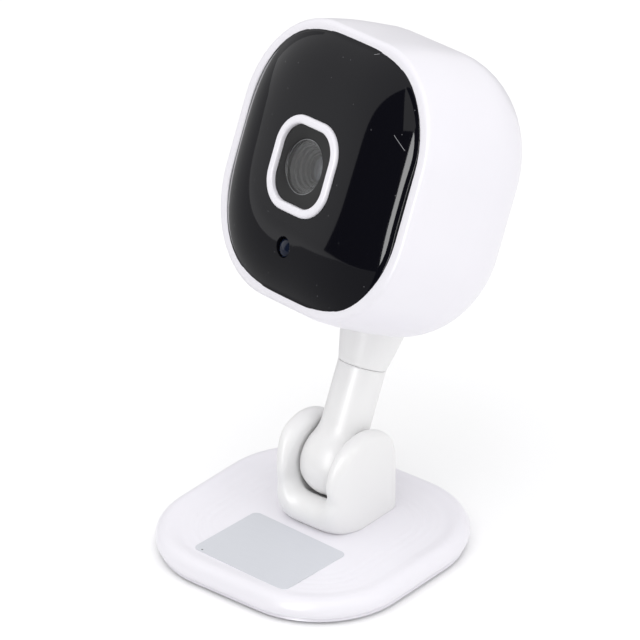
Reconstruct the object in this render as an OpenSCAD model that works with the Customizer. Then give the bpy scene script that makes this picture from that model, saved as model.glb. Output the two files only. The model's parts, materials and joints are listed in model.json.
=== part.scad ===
// Desk security camera: a weighted square base with a forked yoke, an arm that leans in the yoke,
// and a square head with rounded corners that swivels on top of the arm.
// Millimetres, +Z up. The origin is at the middle of the underside of the base; the lens side faces -Y.
// The arm frame has its origin on the hinge pin and +Z along the arm.
// The head frame has its origin at the middle of the head's flat back: +X to the side, +Y up the head
// and +Z towards the lens.

/* [Base] */
// Side of the square base
base_w = 59.6; // [52:1:80]
// Radius of the base's corners, seen from above
base_corner = 21; // [17:1:24]
// Height of the rim's top over the table
base_h = 5.6; // [5.2:0.1:8]
// Width of the rolled rim
rim_w = 4.6; // [3.6:0.1:6]
// How far the dish lies below the rim's top
dish_drop = 0.6; // [0.3:0.1:1]
// Wall of the base cover
base_wall = 1.6; // [1.2:0.1:1.8]
// Thickness of the rubber pad under the base
pad_t = 0.7; // [0.5:0.1:1]
// Thickness of the base's bottom plate
bottom_t = 1.2; // [1:0.1:1.5]
// Thickness of the steel ballast plate
ballast_t = 1; // [0.6:0.1:1.2]
// Number of fine steps in the dish
dish_steps = 4; // [1:1:5]
// Spacing of the fine steps
step_pitch = 1.9; // [1.4:0.1:2]
// Length of the label, across the base
label_len = 26; // [16:1:30]
// Width of the label, front to back
label_wid = 19.4; // [12:0.2:21]
// Turn of the label, as it was stuck on
label_turn = -3; // [-6:1:6]

/* [Yoke and arm] */
// Distance of the hinge pin behind the middle of the base
pin_back = 7.6; // [4:0.1:9]
// Height of the hinge pin over the table
pin_height = 17.2; // [15:0.1:20]
// Distance of the yoke's middle behind the middle of the base
yoke_back = 6.9; // [5:0.1:8]
// Height of the middle of the cheeks' round tops over the table
cheek_height = 15.6; // [14:0.1:18]
// Width of the yoke over both cheeks
yoke_w = 19.2; // [18.4:0.1:24]
// Radius of the round tops of the cheeks
cheek_r = 11; // [10:0.1:13]
// Radius of the yoke's front corners, seen from above
yoke_corner = 5.4; // [3:0.1:7]
// Width of the slot between the cheeks
slot_w = 10.9; // [10.8:0.1:11.8]
// Gap between the knuckle and the saddle below it
saddle_gap = 0.5; // [0.3:0.1:0.8]
// Diameter of the arm's tube
arm_d = 10.5; // [9.6:0.1:10.6]
// Radius of the arm's ball knuckle
knuckle_r = 7.8; // [6.6:0.1:8]
// Length of the arm, from the hinge pin to the swivel seam
arm_len = 21.2; // [20:0.1:30]
// Lean of the arm, backwards from upright
arm_lean = 25; // [0:1:40]
// Thickness of each friction washer
friction_t = 0.4; // [0.3:0.1:0.6]
// Radius of the hinge screw's shank
hinge_r = 1.5; // [1:0.1:1.6]
// Radius of the arm's spigot, on which the neck turns
spigot_r = 3; // [2.6:0.1:3.2]

/* [Head] */
// Turn of the head from straight ahead, towards -X
head_turn = 15.5; // [0:1:60]
// Width of the head
head_w = 64; // [60:0.5:72]
// Height of the head
head_h = 61.6; // [60:0.2:72]
// Depth of the head, from its flat back to the front of the lip
head_d = 33.5; // [33:0.5:40]
// Radius of the head's corners, seen from the front
head_corner = 23.3; // [21:0.1:26]
// Radius that rounds the head into its back
back_round = 15; // [12:0.5:16]
// How much narrower the head is at its lip than at its widest
lip_draw = 0.9; // [0.4:0.1:2]
// Wall of the head shell
shell_wall = 1.8; // [1.4:0.1:2]
// Distance from the hinge pin to the middle of the head, along the arm
head_rise = 61.2; // [60:0.1:76]
// Distance of the swivel axis in front of the head's back
axis_depth = 8.1; // [7.5:0.1:12]
// Radius of the neck where it meets the head
neck_r = 7.4; // [6.6:0.1:8]

/* [Front] */
// Side of the square front panel
panel_w = 56.2; // [53:0.2:58]
// Radius of the panel's corners
panel_corner = 19.8; // [16:0.2:21]
// Thickness of the panel
panel_t = 2; // [1.6:0.1:2.2]
// Height of the panel's middle over its edge
panel_dome = 5.2; // [3.6:0.1:6]
// Gap all round the panel
panel_gap = 0.25; // [0.15:0.05:0.4]
// Outer side of the lens ring
ring_w = 20.4; // [19.6:0.1:21]
// Inner side of the lens ring
ring_inner_w = 16.6; // [15.6:0.1:17]
// Outer corner radius of the lens ring
ring_corner = 7.2; // [5:0.1:8]
// How far the ring stands out of the panel
ring_proud = 0.8; // [0.4:0.1:1.4]
// Diameter of the round window in the bezel
window_d = 11.6; // [10:0.1:12.4]
// How far the bezel's face lies below the ring's face
bezel_sink = 1; // [0.5:0.1:1.6]
// Distance of the light sensor below the lens
sensor_drop = 17.4; // [16.4:0.1:19]
// Diameter of the light sensor's hole in the panel
sensor_hole_d = 4.5; // [4:0.1:5]

/* [Boards and fittings] */
// Number of infrared lights round the lens
led_count = 8; // [4:2:8]
// Radius of the circle of infrared lights
led_circle = 17.4; // [17:0.1:18]
// Radius of each infrared light
led_r = 2.4; // [1.5:0.1:2.5]
// Thickness of the circuit boards
board_t = 1.2; // [0.8:0.1:1.6]
// Radius of the loudspeaker
speaker_r = 9.5; // [8:0.5:10]
// Diameter of the reset button
button_d = 4; // [3:0.1:4.4]
// Travel of the reset button
button_travel = 0.6; // [0.3:0.1:0.6]

/* [Hidden] */

shell_color = "#f1eff4";
stand_color = "#eeeeee";
black_color = "#202024";
board_color = "#1f5c3a";
metal_color = "#b9bcc2";

cut = 0.1;            // how far a cut runs past a face
slip = 0.05;          // radial clearance of a shaft in its bore
seam = 0.1;           // gap between two pieces that turn on each other
pilot_gap = 0.02;     // radial clearance of a screw in its pilot hole
round_fn = 96;
arc_steps = 8;        // points along a quarter of an outline's arc

// Base
dish_z = base_h - dish_drop;
bottom_z = pad_t + bottom_t;
cavity_top = dish_z - base_wall;
rim_foot = 0.9;       // how far the rim's foot is set in
step_w = 0.5;
step_depth = 0.12;
base_post_r = 2.2;
base_post_at = 16;    // the posts stand at this distance each side of the middle
base_screw_r = 1;
label_t = 0.12;
label_margin = 0.4;   // room between the label and the foot of the rim
label_reach = label_wid / 2 * cos(label_turn) + label_len / 2 * abs(sin(label_turn)) + label_margin;
label_y = label_reach + rim_w - base_w / 2;

// Yoke and hinge
pin_y = pin_back;
slot_half = slot_w / 2;
knuckle_half = slot_half - friction_t - 2 * slip;
saddle_r = knuckle_r + saddle_gap;
head_pocket = 2;      // depth of the hinge screw's pocket in the left cheek
head_pocket_r = 3.1;
nut_r = 2.4;
nut_len = yoke_w / 2 - slot_half - 1;
yoke_screw_r = 1.25;
yoke_screw_at = 6.8;

// Arm and swivel
arm_r = arm_d / 2;
fillet_r = 7;         // blends the tube into the knuckle
spigot_len = 3.2;
swivel_screw_r = 1.25;
swivel_screw_len = 12;
neck_floor = 3;
neck_cavity_r = 3.9;
washer_r = 3.6;
washer_t = 0.6;
spring_t = 0.7;
screw_head_t = 1.5;

// Head
lip_round = 1.2;      // rounding of the lip's outer edge
widest = 21;          // height over the back at which the head starts to draw in to its lip
lip_t = 2.2;
ledge = head_d - lip_t;
panel_back = ledge;
panel_edge = head_d - 0.1;
dome_power = 3;       // a high power keeps the middle of the dome flat and its edge steep
bevel = 0.8;
post_at = 17.5;
post_r = 3;
post_screw_r = 1;
frame_t = 2;
tape_t = 0.3;
frame_front = panel_back - tape_t;
frame_back = frame_front - frame_t;
neck_end = head_rise - head_h / 2 + 10;    // where the neck's outside ends, along the arm
pad_top = head_rise - head_h / 2 + 4.6;    // flat pad inside the head that the neck is screwed to
neck_screw_x = 3.95;
neck_screw_y = 3.1;
neck_screw_r = 0.7;
neck_screw_len = 8;

// Front
panel_mid = panel_edge + panel_dome;
ring_face = panel_mid + ring_proud;
bezel_face = ring_face - bezel_sink;
ring_gap = 0.1;
ring_inner_corner = ring_corner - (ring_w - ring_inner_w) / 2;
flange_t = 1.2;
flange_back = panel_back + 2;
bezel_t = 2.4;
window_t = 1;
window_lip = 0.3;     // thickness of the bezel in front of the window
window_r = window_d / 2 + 0.35;
window_face = bezel_face - window_lip;
sensor_r = 1.75;

// Lens and boards, as heights over the head's back
main_board_z = 9;
sensor_board_z = 16;
infrared_board_z = 26.5;
barrel_r = 6;
barrel_back = 20;
barrel_face = window_face - window_t - 0.2;
holder_w = 16;
holder_top = 26;
flange_h = 1;
main_board_w = head_w - 10;
main_board_h = head_h - 17.6;
main_board_corner = 15;
main_board_y = 3;
sensor_board_w = 32;
standoff_at = 13;
standoff_r = 1.8;
infrared_board_r = 21;
infrared_hole_r = 9.5;
led_back = infrared_board_z + board_t;
led_len = 5;

// Back panel
socket_y = -11;
usb_w = 8;
usb_t = 3.4;
usb_gap = 0.15;
button_x = 10;
mic_x = -10;
speaker_y = head_h / 2 - back_round - speaker_r - 0.3;
speaker_t = 4.2;
button_gap = 0.15;
button_proud = 0.3;
card_y = 5.6;
card_w = 14;
card_t = 1.6;

// Points of an arc about a centre, from one angle to another
function arc(centre, r, from, to, steps = arc_steps) =
    [for (i = [0:steps]) let (a = from + (to - from) * i / steps)
        [centre[0] + r * cos(a), centre[1] + r * sin(a)]];

// Edge of the head: out from its back, round the back's edge, up the side and in over the lip
function head_edge(corner, round_r, top, draw, lip) = concat(
    [[0, 0]],
    arc([corner - round_r, round_r], round_r, -90, 0, 12),
    [[corner, widest], [corner - draw / 3, (widest + top - lip) / 2 + 1]],
    arc([corner - draw - lip, top - lip], lip, 0, 90),
    [[0, top]]
);

// Height of the domed panel's face at a distance from its corner's centre
function dome_z(r, top_of_edge) = top_of_edge + panel_dome * (1 - pow(r / panel_corner, dome_power));

module rounded_square(w, h, corner) {
    dx = w / 2 - corner;
    dy = h / 2 - corner;
    for (x = [-dx, dx], y = [-dy, dy]) translate([x, y]) circle(corner, $fn = round_fn);
    square([w, 2 * dy], center = true);
    square([2 * dx, h], center = true);
}

// A rounded plate of the given height
module plate(w, h, corner, t) {
    linear_extrude(t) rounded_square(w, h, corner);
}

// A rounded rectangle whose edge follows a profile: each point is the distance out from the
// corner's centre and the height; the middle is filled from the first point's height to the last one's
module pillow(w, h, corner, profile) {
    dx = w / 2 - corner;
    dy = h / 2 - corner;
    low = profile[0][1];
    high = profile[len(profile) - 1][1];
    for (quarter = [0:3]) {
        along = quarter % 2 == 0 ? dx : dy;
        across = quarter % 2 == 0 ? dy : dx;
        rotate([0, 0, 90 * quarter]) {
            translate([along, across, 0]) rotate_extrude(angle = 90, $fn = round_fn) polygon(profile);
            translate([along, 0, 0]) rotate([90, 0, 0]) linear_extrude(2 * across, center = true)
                polygon(profile);
        }
    }
    translate([-dx, -dy, low]) cube([2 * dx, 2 * dy, high - low]);
}

module tube(outer_r, inner_r, len) {
    difference() {
        cylinder(r = outer_r, h = len, $fn = round_fn);
        translate([0, 0, -cut]) cylinder(r = inner_r, h = len + 2 * cut, $fn = round_fn);
    }
}

// A pan-head screw with its head at the top and the underside of the head at the origin
module screw(shank_r, shank_len, head_r, head_t) {
    translate([0, 0, -shank_len]) cylinder(r = shank_r, h = shank_len, $fn = 32);
    difference() {
        cylinder(r = head_r, h = head_t, $fn = 32);
        for (turn = [0, 90]) rotate([0, 0, turn]) translate([-head_r / 2, -0.2, head_t / 2])
            cube([head_r, 0.4, head_t]);
    }
}

module in_arm() {
    translate([0, pin_y, pin_height]) rotate([-arm_lean, 0, 0]) children();
}

module on_arm_top() {
    in_arm() rotate([0, 0, -head_turn]) children();
}

module in_head() {
    on_arm_top() translate([0, axis_depth, head_rise]) rotate([90, 0, 0]) children();
}

module base_posts_at() {
    for (x = [-1, 1], y = [-1, 1]) translate([x * base_post_at, y * base_post_at, 0]) children();
}

module yoke_posts_at() {
    for (x = [-1, 1]) translate([x * yoke_screw_at, yoke_back, 0]) children();
}

module head_posts_at() {
    for (x = [-1, 1], y = [-1, 1]) translate([x * post_at, y * post_at, 0]) children();
}

module standoffs_at() {
    for (x = [-1, 1], y = [-1, 1]) translate([x * standoff_at, y * standoff_at, 0]) children();
}

module lights_at() {
    for (i = [0:led_count - 1]) rotate([0, 0, 180 / led_count + 360 * i / led_count])
        translate([led_circle, 0, 0]) children();
}

module infrared_screws_at() {
    for (a = [0, 90, 180]) rotate([0, 0, a]) translate([led_circle, 0, 0]) children();
}

// ---- Base ----

module foot_pad() {
    inset = 5;
    color("#3a3a3e") plate(base_w - 2 * inset, base_w - 2 * inset, base_corner - inset, pad_t);
}

module base_inside(z, t, gap) {
    inset = rim_foot + base_wall + gap;
    translate([0, 0, z]) plate(base_w - 2 * inset, base_w - 2 * inset, base_corner - inset, t);
}

module base_bottom() {
    color(shell_color) difference() {
        base_inside(pad_t, bottom_t, 0.1);
        base_posts_at() translate([0, 0, pad_t - cut]) cylinder(r = base_screw_r + slip, h = 4, $fn = 48);
        base_posts_at() translate([0, 0, pad_t - cut]) cylinder(r = 2, h = cut + 0.6, $fn = 48);
        yoke_posts_at() translate([0, 0, pad_t - cut]) cylinder(r = 2.6, h = 4, $fn = 48);
    }
}

module ballast_plate() {
    inset = 7;
    color(metal_color) translate([0, 0, bottom_z]) difference() {
        plate(base_w - 2 * inset, base_w - 2 * inset, base_corner - inset, ballast_t);
        base_posts_at() translate([0, 0, -cut]) cylinder(r = base_post_r + 0.3, h = 4, $fn = 48);
        yoke_posts_at() translate([0, 0, -cut]) cylinder(r = 3, h = 4, $fn = 48);
    }
}

module base_cover() {
    mid = (pad_t + base_h) / 2;
    roll = (base_h - pad_t) / 2;
    inner = base_corner - rim_w;
    edge = concat(
        [[0, pad_t], [base_corner - rim_foot, pad_t]],
        [for (a = [-60:12:84]) [base_corner - roll + roll * cos(a), mid + roll * sin(a)]],
        [[base_corner - roll - 0.4, base_h], [inner + 0.9, dish_z + dish_drop * 0.6], [inner, dish_z], [0, dish_z]]
    );
    color(shell_color) difference() {
        pillow(base_w, base_w, base_corner, edge);
        difference() {
            base_inside(pad_t - cut, cavity_top - pad_t + cut, 0);
            base_posts_at() translate([0, 0, bottom_z]) cylinder(r = base_post_r, h = base_h, $fn = 48);
        }
        base_posts_at() translate([0, 0, pad_t - cut])
            cylinder(r = base_screw_r + pilot_gap, h = cavity_top + 0.8 - pad_t, $fn = 48);
        yoke_posts_at() translate([0, 0, pad_t - cut])
            cylinder(r = yoke_screw_r + slip, h = base_h, $fn = 48);
        for (i = [1:dish_steps]) translate([0, 0, dish_z - step_depth]) {
            outer = base_w - 2 * (rim_w + i * step_pitch);
            corner = base_corner - rim_w - i * step_pitch;
            difference() {
                plate(outer, outer, corner, 1);
                translate([0, 0, -cut]) plate(outer - 2 * step_w, outer - 2 * step_w, corner - step_w, 2);
            }
        }
    }
}

module base_screws() {
    color(metal_color) base_posts_at() translate([0, 0, pad_t + 0.6]) rotate([180, 0, 0])
        screw(base_screw_r, cavity_top - pad_t - 0.2, 1.9, 0.5);
}

module label() {
    color("#d5d8de") translate([0, label_y, dish_z]) rotate([0, 0, label_turn])
        plate(label_len, label_wid, 1.5, label_t);
}

// ---- Yoke and hinge ----

module across_pin(x) {
    translate([x, pin_y, pin_height]) rotate([0, 90, 0]) children();
}

module yoke() {
    block_h = cheek_height - dish_z;
    color(stand_color) difference() {
        intersection() {
            translate([0, yoke_back, dish_z]) plate(yoke_w, 2 * cheek_r, yoke_corner, 4 * cheek_r);
            union() {
                translate([-yoke_w / 2, yoke_back, cheek_height]) rotate([0, 90, 0])
                    cylinder(r = cheek_r, h = yoke_w, $fn = round_fn);
                translate([-yoke_w / 2, yoke_back - cheek_r, dish_z]) cube([yoke_w, 2 * cheek_r, block_h]);
            }
        }
        across_pin(-slot_half) cylinder(r = saddle_r, h = slot_w, $fn = round_fn);
        translate([-slot_half, pin_y - 2 * cheek_r, pin_height - saddle_r * 0.72])
            cube([slot_w, 4 * cheek_r, 3 * cheek_r]);
        across_pin(-yoke_w) cylinder(r = hinge_r + slip, h = yoke_w, $fn = 48);
        across_pin(-yoke_w / 2 - cut) cylinder(r = head_pocket_r, h = head_pocket + cut, $fn = 64);
        across_pin(slot_half - cut) cylinder(r = nut_r + pilot_gap, h = nut_len + cut, $fn = 64);
        yoke_posts_at() translate([0, 0, dish_z - cut]) cylinder(r = yoke_screw_r + pilot_gap, h = 4.4, $fn = 48);
    }
}

module yoke_screws() {
    color(metal_color) yoke_posts_at() translate([0, 0, cavity_top]) rotate([180, 0, 0])
        screw(yoke_screw_r, dish_z - cavity_top + 4, 2.3, 1);
}

module hinge_screw() {
    head_t = 1.5;
    seat = head_pocket - 0.4;
    color(metal_color) across_pin(-yoke_w / 2 + seat) rotate([180, 0, 0])
        screw(hinge_r, yoke_w - seat - 1.4, head_pocket_r - 0.2, head_t);
}

module hinge_spring_washer() {
    color(metal_color) across_pin(-yoke_w / 2 + head_pocket - 0.4)
        tube(head_pocket_r - 0.3, hinge_r + slip, 0.4);
}

module hinge_nut() {
    color("#c9a24a") across_pin(slot_half) tube(nut_r, hinge_r + pilot_gap, nut_len);
}

module friction_washers() {
    color("#dcdcd8") for (x = [-slot_half, slot_half - friction_t])
        across_pin(x) tube(4.4, hinge_r + slip, friction_t);
}

// ---- Arm and swivel ----

module arm() {
    // The knuckle is a ball; a fillet that touches both the ball and the tube joins them
    fillet_x = arm_r + fillet_r;
    fillet_z = sqrt(pow(knuckle_r + fillet_r, 2) - pow(fillet_x, 2));
    meet = atan2(fillet_z, fillet_x);
    outline = concat(
        arc([0, 0], knuckle_r, -90, meet, 24),
        [for (i = [1:arc_steps]) let (a = 180 + meet - meet * i / arc_steps)
            [fillet_x + fillet_r * cos(a), fillet_z + fillet_r * sin(a)]],
        [[arm_r, arm_len], [spigot_r, arm_len], [spigot_r, arm_len + spigot_len], [0, arm_len + spigot_len]]
    );
    color(stand_color) in_arm() difference() {
        rotate_extrude($fn = round_fn) polygon(outline);
        for (side = [-1, 1]) translate([side * (knuckle_half + knuckle_r), 0, 0])
            cube([2 * knuckle_r, 2 * knuckle_r, 2 * knuckle_r * 0.95], center = true);
        rotate([0, 90, 0]) cylinder(r = hinge_r + slip, h = 4 * knuckle_r, center = true, $fn = 48);
        translate([0, 0, arm_len + spigot_len - swivel_screw_len])
            cylinder(r = swivel_screw_r + pilot_gap, h = swivel_screw_len + cut, $fn = 48);
    }
}

module above_spigot(z) {
    in_arm() translate([0, 0, arm_len + spigot_len + z]) children();
}

module swivel_washer() {
    color(metal_color) above_spigot(0) tube(washer_r, swivel_screw_r + slip, washer_t);
}

module swivel_spring_washer() {
    color(metal_color) above_spigot(washer_t) tube(3, swivel_screw_r + slip, spring_t);
}

module swivel_screw() {
    color(metal_color) above_spigot(washer_t + spring_t)
        screw(swivel_screw_r, swivel_screw_len + washer_t + spring_t - 1, 2.4, screw_head_t);
}

// ---- Head ----

module head_solid() {
    in_head() pillow(head_w, head_h, head_corner, head_edge(head_corner, back_round, head_d, lip_draw, lip_round));
}

module neck() {
    neck_base = arm_len + seam;
    climb = head_rise - head_h / 2 + 1.5 - neck_base;
    flare = [for (i = [0:arc_steps]) let (t = i / arc_steps)
        [arm_r + (neck_r - arm_r) * t * (1.15 - 0.15 * t), neck_base + climb * t]];
    color(stand_color) difference() {
        on_arm_top() rotate_extrude($fn = round_fn)
            polygon(concat([[0, neck_base]], flare, [[neck_r, neck_end], [0, neck_end]]));
        head_solid();
        on_arm_top() translate([0, 0, arm_len - cut]) cylinder(r = spigot_r + slip, h = 20, $fn = 64);
        on_arm_top() translate([0, 0, neck_base + neck_floor]) cylinder(r = neck_cavity_r, h = 40, $fn = 64);
        on_arm_top() neck_screws_at() translate([0, 0, pad_top - neck_screw_len - 0.3])
            cylinder(r = neck_screw_r + pilot_gap, h = 20, $fn = 32);
    }
}

module neck_screws_at() {
    for (x = [-1, 1]) translate([x * neck_screw_x, -neck_screw_y, 0]) children();
}

module neck_screws() {
    color(metal_color) on_arm_top() neck_screws_at() translate([0, 0, pad_top])
        screw(neck_screw_r, neck_screw_len, 1.4, 1);
}

module head_shell() {
    inner_w = head_w - 2 * shell_wall;
    inner_h = head_h - 2 * shell_wall;
    inner_corner = head_corner - shell_wall;
    inner_round = back_round - shell_wall;
    hollow = concat(
        [[0, shell_wall]],
        arc([inner_corner - inner_round, back_round], inner_round, -90, 0, 12),
        [[inner_corner, widest], [inner_corner - lip_draw * 0.8, ledge], [0, ledge]]
    );
    opening = panel_w + 2 * panel_gap;
    color(shell_color) difference() {
        head_solid();
        difference() {
            in_head() pillow(inner_w, inner_h, inner_corner, hollow);
            in_head() head_posts_at() translate([0, 0, -cut]) cylinder(r = post_r, h = frame_back + cut, $fn = 48);
            in_head() main_board_screws_at() cylinder(r = 2.2, h = main_board_z, $fn = 48);
            // Pad round the neck's hole, with a flat top for the neck's screws
            on_arm_top() translate([-9, -9, pad_top - 20]) cube([18, 30, 20]);
        }
        in_head() translate([0, 0, ledge - cut]) plate(opening, opening, panel_corner + panel_gap, 10);
        in_head() head_posts_at() translate([0, 0, frame_back - 11])
            cylinder(r = post_screw_r + pilot_gap, h = 20, $fn = 32);
        in_head() main_board_screws_at() translate([0, 0, 3])
            cylinder(r = 0.8 + pilot_gap, h = 10, $fn = 32);
        on_arm_top() translate([0, 0, arm_len + 2]) cylinder(r = neck_cavity_r + 0.05, h = pad_top + 8 - arm_len, $fn = 64);
        on_arm_top() neck_screws_at() translate([0, 0, pad_top - neck_screw_len - 0.3])
            cylinder(r = neck_screw_r + slip, h = neck_screw_len + 0.4, $fn = 32);
        in_head() translate([-usb_w / 2 - usb_gap, socket_y - usb_t / 2 - usb_gap, -cut])
            cube([usb_w + 2 * usb_gap, usb_t + 2 * usb_gap, shell_wall + 2]);
        in_head() translate([button_x, socket_y, -cut])
            cylinder(r = button_d / 2 + button_gap, h = shell_wall + 2 * cut, $fn = 48);
        in_head() translate([mic_x, socket_y, -cut]) cylinder(r = 0.6, h = 5, $fn = 24);
        in_head() translate([0, speaker_y, -cut]) speaker_holes();
        in_head() translate([-head_w / 2 - 1, card_y - card_w / 2 + 1, main_board_z - card_t])
            cube([9, card_w - 2, card_t - 0.3]);
    }
}

module speaker_holes() {
    for (row = [0:2], i = [0:max(0, 6 * row - 1)])
        rotate([0, 0, row == 0 ? 0 : 60 * i / row]) translate([2.6 * row, 0, 0])
            cylinder(r = 0.6, h = shell_wall + 2 * cut, $fn = 16);
}

module front_frame() {
    frame_w = panel_w - 0.4;
    open_w = ring_w + 5;
    color(black_color) in_head() difference() {
        union() {
            translate([0, 0, frame_back]) plate(frame_w, frame_w, panel_corner - 0.2, frame_t);
            infrared_screws_at() translate([0, 0, led_back]) cylinder(r = 1.6, h = frame_back - led_back + cut, $fn = 32);
        }
        translate([0, 0, frame_back - cut]) plate(open_w, open_w, ring_corner + 2, frame_t + 2 * cut);
        lights_at() translate([0, 0, frame_back - cut]) cylinder(r = led_r + 0.2, h = frame_t + 2 * cut, $fn = 32);
        translate([0, -sensor_drop, frame_back - cut]) cylinder(r = 3, h = frame_t + 2 * cut, $fn = 48);
        head_posts_at() translate([0, 0, frame_back - cut]) cylinder(r = post_screw_r + slip, h = frame_t + 2 * cut, $fn = 32);
        head_posts_at() translate([0, 0, frame_front - 1]) cylinder(r = 2.1, h = 2, $fn = 32);
        infrared_screws_at() translate([0, 0, led_back - cut]) cylinder(r = 0.7 + pilot_gap, h = 2.2, $fn = 24);
    }
}

module frame_screws() {
    color(metal_color) in_head() head_posts_at() translate([0, 0, frame_front - 1])
        screw(post_screw_r, 9, 2, 0.9);
}

module panel_tape() {
    color("#2a2a2a") in_head() translate([0, 0, frame_front]) difference() {
        plate(panel_w - 1, panel_w - 1, panel_corner - 0.5, tape_t);
        translate([0, 0, -cut]) plate(panel_w - 6, panel_w - 6, panel_corner - 3, tape_t + 2 * cut);
        head_posts_at() translate([0, 0, -cut]) cylinder(r = 2.1, h = 1, $fn = 32);
    }
}

module front_panel() {
    rim = 1.4;
    brow = panel_corner - bevel;
    outer = concat(
        [[0, panel_back], [panel_corner, panel_back], [panel_corner, panel_edge - bevel * 0.6]],
        [for (i = [0:arc_steps]) let (r = brow * (1 - i / arc_steps)) [r, dome_z(r, panel_edge)]]
    );
    inner_r = panel_corner - rim;
    inner = concat(
        [[0, panel_back - cut], [inner_r, panel_back - cut]],
        [for (i = [0:arc_steps]) let (r = inner_r * (1 - i / arc_steps)) [r, dome_z(r, panel_edge) - panel_t]]
    );
    inner_w = panel_w - 2 * rim;
    hole_w = ring_w + 2 * ring_gap;
    color(black_color) in_head() difference() {
        pillow(panel_w, panel_w, panel_corner, outer);
        pillow(inner_w, inner_w, inner_r, inner);
        translate([0, 0, panel_back]) plate(hole_w, hole_w, ring_corner + ring_gap, 10);
        translate([0, -sensor_drop, panel_back]) cylinder(r = sensor_hole_d / 2, h = 10, $fn = 64);
    }
}

module lens_ring() {
    flange_w = ring_w + 3;
    color(shell_color) in_head() difference() {
        union() {
            translate([0, 0, flange_back]) plate(flange_w, flange_w, ring_corner + 1.5, flange_t);
            translate([0, 0, flange_back]) plate(ring_w, ring_w, ring_corner, ring_face - flange_back);
        }
        translate([0, 0, flange_back - cut])
            plate(ring_inner_w, ring_inner_w, ring_inner_corner, ring_face - flange_back + 2 * cut);
    }
}

module lens_bezel() {
    side = ring_inner_w - 0.1;
    color(black_color) in_head() difference() {
        translate([0, 0, bezel_face - bezel_t]) plate(side, side, ring_inner_corner - 0.05, bezel_t);
        translate([0, 0, bezel_face - bezel_t - cut]) cylinder(r = window_d / 2, h = bezel_t + 2 * cut, $fn = round_fn);
        translate([0, 0, bezel_face - bezel_t - cut])
            cylinder(r = window_r + pilot_gap, h = bezel_t + cut - window_lip, $fn = round_fn);
    }
}

module lens_window() {
    color([0.8, 0.85, 0.9, 0.4]) in_head() translate([0, 0, window_face - window_t])
        cylinder(r = window_r, h = window_t, $fn = round_fn);
}

// ---- Lens ----

module lens_barrel() {
    steps = [[5.2, 0], [5.2, 1], [4.7, 1], [4.7, 1.9], [4.1, 1.9], [4.1, 2.8], [3.5, 2.8], [3.5, 3.4]];
    bore = concat([for (p = steps) [p[0], barrel_face - p[1]]], [[3, barrel_face - 3.4], [3, barrel_back]]);
    color(black_color) in_head() rotate_extrude($fn = round_fn)
        polygon(concat([[barrel_r, barrel_back], [barrel_r, barrel_face]], bore));
}

module front_glass() {
    dome_r = 5;
    glass_r = 2.95;
    sag = dome_r - sqrt(dome_r * dome_r - glass_r * glass_r);
    rim_z = barrel_face - 3.4 - sag;
    color([0.5, 0.55, 0.7, 0.5]) in_head() translate([0, 0, rim_z]) rotate_extrude($fn = 64)
        polygon(concat([[0, -1.5], [glass_r, -1.5]],
            [for (i = [0:arc_steps]) let (r = glass_r * (1 - i / arc_steps))
                [r, sqrt(dome_r * dome_r - r * r) - (dome_r - sag)]]));
}

module rear_glass() {
    color([0.5, 0.55, 0.7, 0.5]) in_head() translate([0, 0, barrel_back + 1]) cylinder(r = 2.95, h = 2, $fn = 64);
}

module lens_holder() {
    base_z = sensor_board_z + board_t;
    lug_x = 10;
    color(black_color) in_head() difference() {
        union() {
            translate([0, 0, base_z]) plate(holder_w, holder_w, 1, holder_top - base_z);
            translate([0, 0, base_z]) plate(2 * lug_x + 4, 5, 2.4, flange_h + 0.5);
        }
        translate([0, 0, barrel_back]) cylinder(r = barrel_r + pilot_gap, h = 20, $fn = round_fn);
        translate([0, 0, base_z - cut]) cylinder(r = 5.6, h = barrel_back - base_z - 0.6, $fn = 64);
        translate([0, 0, base_z]) cylinder(r = 4.4, h = 20, $fn = 64);
        for (x = [-lug_x, lug_x]) translate([x, 0, base_z - cut]) cylinder(r = 0.8, h = 3, $fn = 24);
    }
}

module infrared_filter() {
    color([0.3, 0.6, 0.8, 0.6]) in_head() translate([0, 0, barrel_back - 1.1]) cylinder(r = 5.5, h = 0.3, $fn = 48);
}

module image_sensor() {
    color("#454850") in_head() translate([0, 0, sensor_board_z + board_t]) plate(7, 7, 0.3, 1);
}

module sensor_board() {
    color(board_color) in_head() translate([0, 0, sensor_board_z]) difference() {
        plate(sensor_board_w, sensor_board_w, 3, board_t);
        standoffs_at() translate([0, 0, -cut]) cylinder(r = 0.9, h = 3, $fn = 32);
        for (x = [-10, 10]) translate([x, 0, -cut]) cylinder(r = 0.8, h = 3, $fn = 24);
    }
}

module standoffs() {
    low = main_board_z + board_t;
    color("#c9a24a") in_head() standoffs_at() translate([0, 0, low])
        tube(standoff_r, 0.8 + pilot_gap, sensor_board_z - low);
}

module board_screws() {
    color(metal_color) in_head() standoffs_at() translate([0, 0, sensor_board_z + board_t])
        screw(0.8, 5, 1.5, 1);
}

// ---- Boards ----

module infrared_board() {
    color(board_color) in_head() translate([0, 0, infrared_board_z]) difference() {
        tube(infrared_board_r, infrared_hole_r, board_t);
        infrared_screws_at() translate([0, 0, -cut]) cylinder(r = 0.8, h = 3, $fn = 24);
    }
}

module infrared_lights() {
    color([0.2, 0.18, 0.25]) in_head() lights_at() translate([0, 0, led_back]) {
        cylinder(r = led_r, h = led_len - led_r, $fn = 32);
        intersection() {
            translate([0, 0, led_len - led_r]) sphere(led_r, $fn = 32);
            translate([-led_r, -led_r, led_len - led_r]) cube(2 * led_r);
        }
    }
}

module infrared_screws() {
    color(metal_color) in_head() infrared_screws_at() translate([0, 0, infrared_board_z]) rotate([180, 0, 0])
        screw(0.7, 2.8, 1.4, 0.8);
}

module infrared_cable() {
    low = main_board_z + board_t;
    color("#e6e2d6") in_head() translate([-infrared_board_r + 1, -2.5, low])
        cube([0.3, 5, infrared_board_z - low]);
}

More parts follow.
